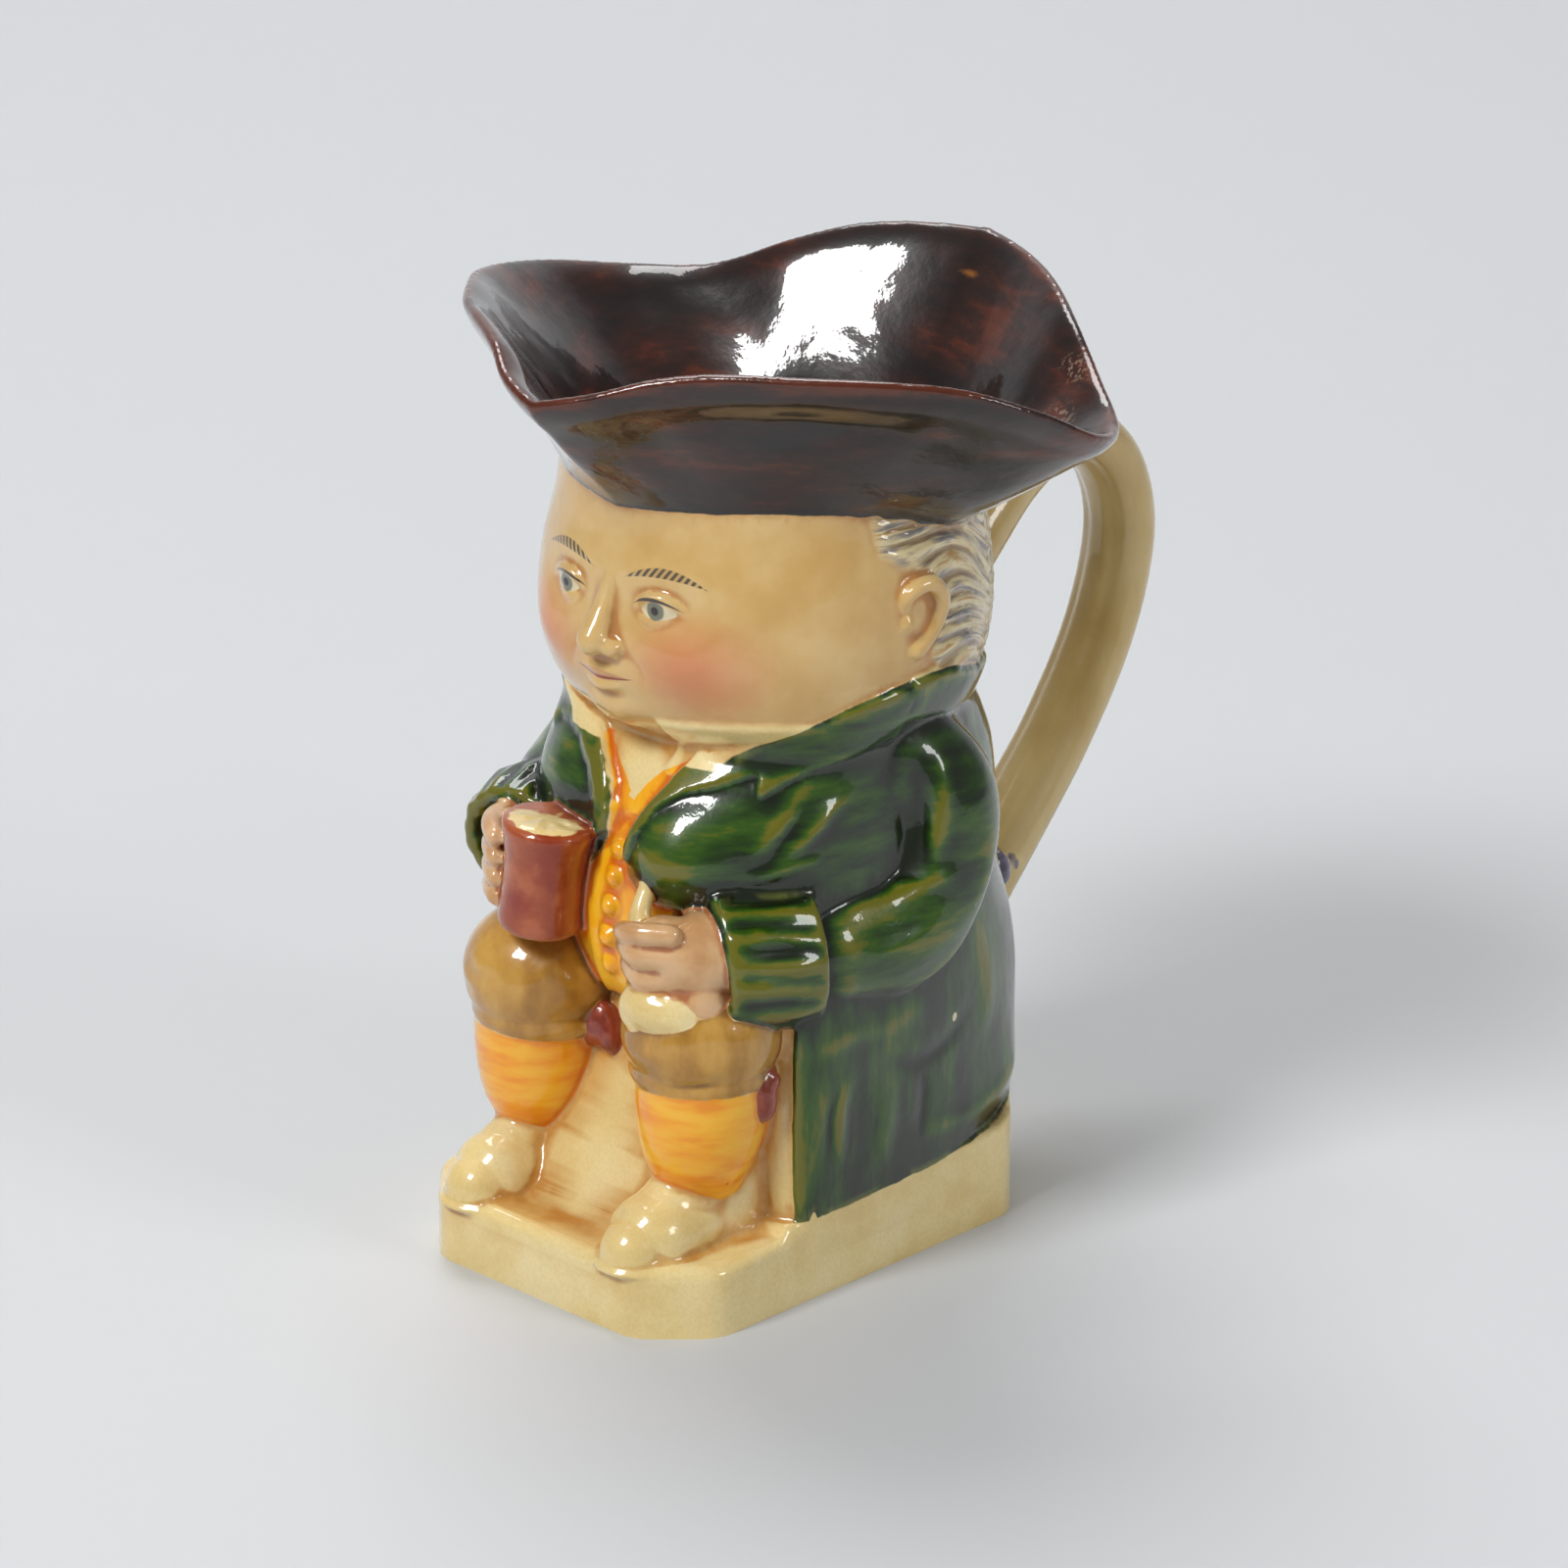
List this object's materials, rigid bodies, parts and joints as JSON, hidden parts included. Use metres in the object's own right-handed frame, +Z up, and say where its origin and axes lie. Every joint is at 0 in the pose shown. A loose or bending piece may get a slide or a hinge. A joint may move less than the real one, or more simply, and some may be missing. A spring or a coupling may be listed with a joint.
{
  "type": "toby jug",
  "caption": "Hand-painted earthenware figure jug: a seated man holding a mug, with a three-cornered hat as the open mouth and a strap handle at the back.",
  "frame": {"origin": "centre of the flat underside the jug stands on", "axes": "+Z up out of the hat's mouth; the figure faces -Y and the handle is at +Y; the figure's left hand is on +X"},
  "size_m": [0.148, 0.1725, 0.1951],
  "materials": {
    "glazed_earthenware": "glossy clear glaze over hand-painted colours"
  },
  "bodies": {
    "root": {"toby_jug": "glazed_earthenware"}
  },
  "joints": []
}
